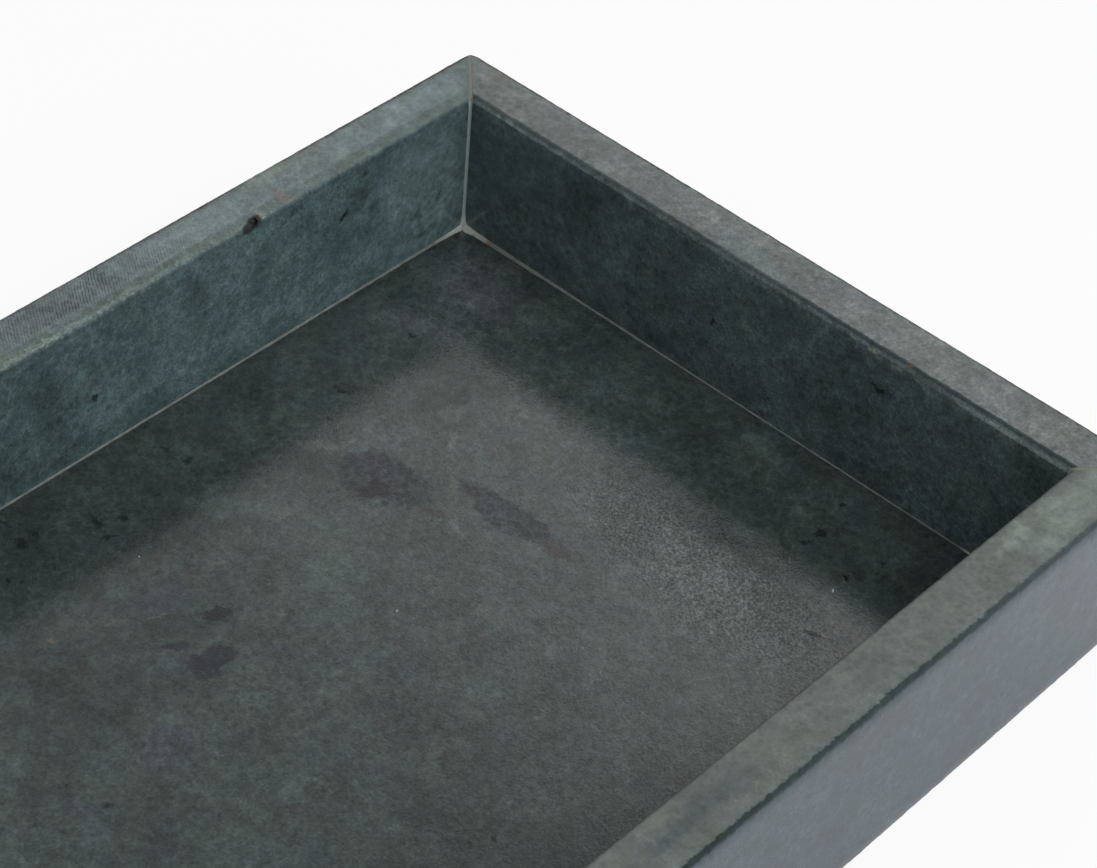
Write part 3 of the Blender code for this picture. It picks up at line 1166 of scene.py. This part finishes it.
resinLook = {
    "pale": (0.175, 0.19, 0.172),
    "dirty": (0.11, 0.128, 0.12),
    "dirtEdge": (0.35, 0.65),
    "heaped": (0.46, 0.5, 0.46),  # in the inner corners and a few places between
    "heapReach": (9, 2),  # mm from the corner, where it starts and is full
    "heapShare": 0.8,
    "heapSpots": [(118, 0.2, 2.2, 1.2)],
    "clean": (0.3, 0.37, 0.365),
    "cleanFrom": (1.0, 4.0),  # height above the floor, in mm
    "stained": (0.15, 0.166, 0.138),
    "stainedFrom": (28.2, 29.0),
    "rust": (0.17, 0.11, 0.08),
    "rustShare": 0.7,
    "rustSpots": [(7.2, -0.3, 1.2, 0.8, -30), (3.4, -1.0, 0.7, 0.6)],
}


def resinMaterial():
    recipe = Recipe("joint resin")
    place = recipe.millimetres((-innerX, innerY, floorTop))
    dirt = recipe.clouds(place, "dirt")
    height = recipe.parts(place)[2]
    centre = (innerX / mm, -innerY / mm, 0)
    away = recipe.vectors("SUBTRACT", place, centre)
    across, along, _ = recipe.parts(recipe.vectors("ABSOLUTE", away))
    corner = (innerX / mm - across).most(innerY / mm - along).fade(*resinLook["heapReach"])
    heaps = recipe.patches(place, resinLook["heapSpots"]).fade(1.1, 0.3)
    rusty = recipe.patches(place, resinLook["rustSpots"]).fade(1.1, 0.3)
    colour = resinLook["pale"]
    for share, ink in (
        (dirt.fade(*resinLook["dirtEdge"]), "dirty"),
        (corner.most(heaps) * resinLook["heapShare"], "heaped"),
        (height.fade(*resinLook["cleanFrom"]), "clean"),
        (height.fade(*resinLook["stainedFrom"]), "stained"),
        (rusty * resinLook["rustShare"], "rust"),
    ):
        colour = recipe.blend(share, colour, resinLook[ink])
    grain = recipe.clouds(place, "resinGrain")
    rough = 0.45 + (grain - 0.5) * 0.3
    normal = recipe.bump(grain, 0.03 * mm)
    return recipe.finish({"IOR": 1.5}, Base_Color=colour, Roughness=rough, Normal=normal)


rubberLook = {"dark": (0.018, 0.018, 0.019), "dusty": (0.04, 0.04, 0.041)}


def rubberMaterial():
    recipe = Recipe("pad rubber")
    place = recipe.millimetres()
    dust = recipe.clouds(place, "dust")
    grain = recipe.clouds(place, "rubberGrain")
    colour = recipe.blend(dust.fade(0.4, 0.7), rubberLook["dark"], rubberLook["dusty"])
    rough = 0.7 + (dust - 0.5) * 0.3
    normal = recipe.bump(grain, 0.02 * mm)
    return recipe.finish({"IOR": 1.5}, Base_Color=colour, Roughness=rough, Normal=normal)


baseMarble = marble("base marble", {
    "face": lambda recipe, place: place, "shift": (0, 0, 0), "finish": floorFinish, "marks": base["marks"],
    "drift": 1.0,
})
wallMarble = {
    side: marble(f"{side} wall marble", {
        "face": wallFace(side), "shift": wallLook["shifts"][side], "finish": wallFinish(side),
        "marks": wallLook["marks"][side], "drift": wallLook["drift"][side],
    })
    for side in sides
}
resin = resinMaterial()
rubber = rubberMaterial()
print("materials made")

finishPiece(basePiece, "base_marble", baseMarble, "base_slab")
for side, wall in wallPieces.items():
    finishPiece(wall, "wall_marble", wallMarble[side], f"{side}_wall")
for side, bead in beadPieces.items():
    finishPiece(bead, "joint_resin", resin, f"{side}_floor_bead")
for corner, film in filmPieces.items():
    finishPiece(film, "joint_resin", resin, f"{corner}_mitre_resin")
for corner, pad in padPieces.items():
    finishPiece(pad, "pad_rubber", rubber, f"{corner}_foot_pad")
bpy.data.objects.remove(ring)


# floor, backdrop and light

studio = {
    "floorSize": 6.0,
    "fill": 0.6,
    "fillTilt": 0.08,  # more from the rear than from the front
    "keyPower": 10.0,
    "keySize": 0.8,
    "keyPlace": (1.05, 0.1, 1.0),
    "mirrored": 0.8,
    "mirroredLeast": 0.3,
    "paleWalls": 0.55,
    "paleBelow": (0.86, 0.66),
    "paleBehind": (-0.5, 0.0),
    "glow": 0.8,
    # how fast the strip gains to the right, where it is even, and its limits
    "glowLean": (6.0, 0.44, -0.4, 0.5),
    "glowLeft": (0.0, -0.3),
    # rise over run to the rear, where the strip starts, is full, and ends
    "glowSteepness": (1.55, 1.18, 0.9, 0.6),
    "floorColour": (0.86, 0.86, 0.86),
    "floorRoughness": 0.9,
    "floorWhite": 0.9,  # how much of the floor is plain white to the camera, the rest keeps the shadow
}


def addStage():
    clearSelection()
    bpy.ops.mesh.primitive_plane_add(size=studio["floorSize"], location=(0, 0, 0))
    floor = bpy.context.object
    floor.name = "studio_floor"
    recipe = Recipe("studio floor")
    material = recipe.finish({"Base Color": studio["floorColour"], "Roughness": studio["floorRoughness"]})
    white = recipe.add("Emission", {}, {})
    seen = recipe.add("LightPath", {}, {}, "Is Camera Ray") * studio["floorWhite"]
    shader = Wire(recipe, recipe.shader.outputs[0])
    mixed = recipe.add("MixShader", {}, {0: seen, 1: shader, 2: white})
    recipe.feed(recipe.tree.nodes["Material Output"], {"Surface": mixed})
    floor.data.materials.append(material)


def addLight():
    clearSelection()
    target = Vector((0, 0, 0.02))
    place = Vector(studio["keyPlace"])
    bpy.ops.object.light_add(type="AREA", location=place)
    key = bpy.context.object
    key.data.shape = "SQUARE"
    key.data.size = studio["keySize"]
    key.data.energy = studio["keyPower"]
    key.rotation_euler = (target - place).to_track_quat("-Z", "Y").to_euler()


def addWorld():
    recipe = Recipe("studio", bpy.data.worlds)
    recipe.tree.nodes.clear()
    bpy.context.scene.world = recipe.owner
    rays = recipe.add("LightPath", {}, {}, "Is Camera Ray")
    ways = recipe.add("TexCoord", {}, {}, "Generated")
    across, along, up = recipe.parts(ways)
    # what polished stone mirrors: white walls all round, but nothing bright overhead or in front
    pale = up.fade(*studio["paleBelow"]) * along.fade(*studio["paleBehind"]) * studio["paleWalls"]
    above, full, lower, below = studio["glowSteepness"]
    steepness = up / along.most(0.01)
    strip = steepness.fade(above, full) * steepness.fade(below, lower)
    lean, middle, least, most = studio["glowLean"]
    leaning = ((across + middle) * lean).most(least).least(most) * across.fade(*studio["glowLeft"])
    glow = strip * (leaning + 1) * studio["glow"]
    mirrored = (studio["mirroredLeast"] + pale + glow) * studio["mirrored"]
    fill = studio["fill"] + along * studio["fillTilt"]
    glossy = rays.output("Is Glossy Ray")
    strength = fill * (1 - glossy) + mirrored * glossy
    strength = strength * (1 - rays) + rays
    light = recipe.add("Background", {}, {"Color": (1, 1, 1), "Strength": strength})
    recipe.add("OutputWorld", {}, {"Surface": light}, None)


addStage()
addLight()
addWorld()
bpy.context.scene.view_settings.view_transform = "Standard"
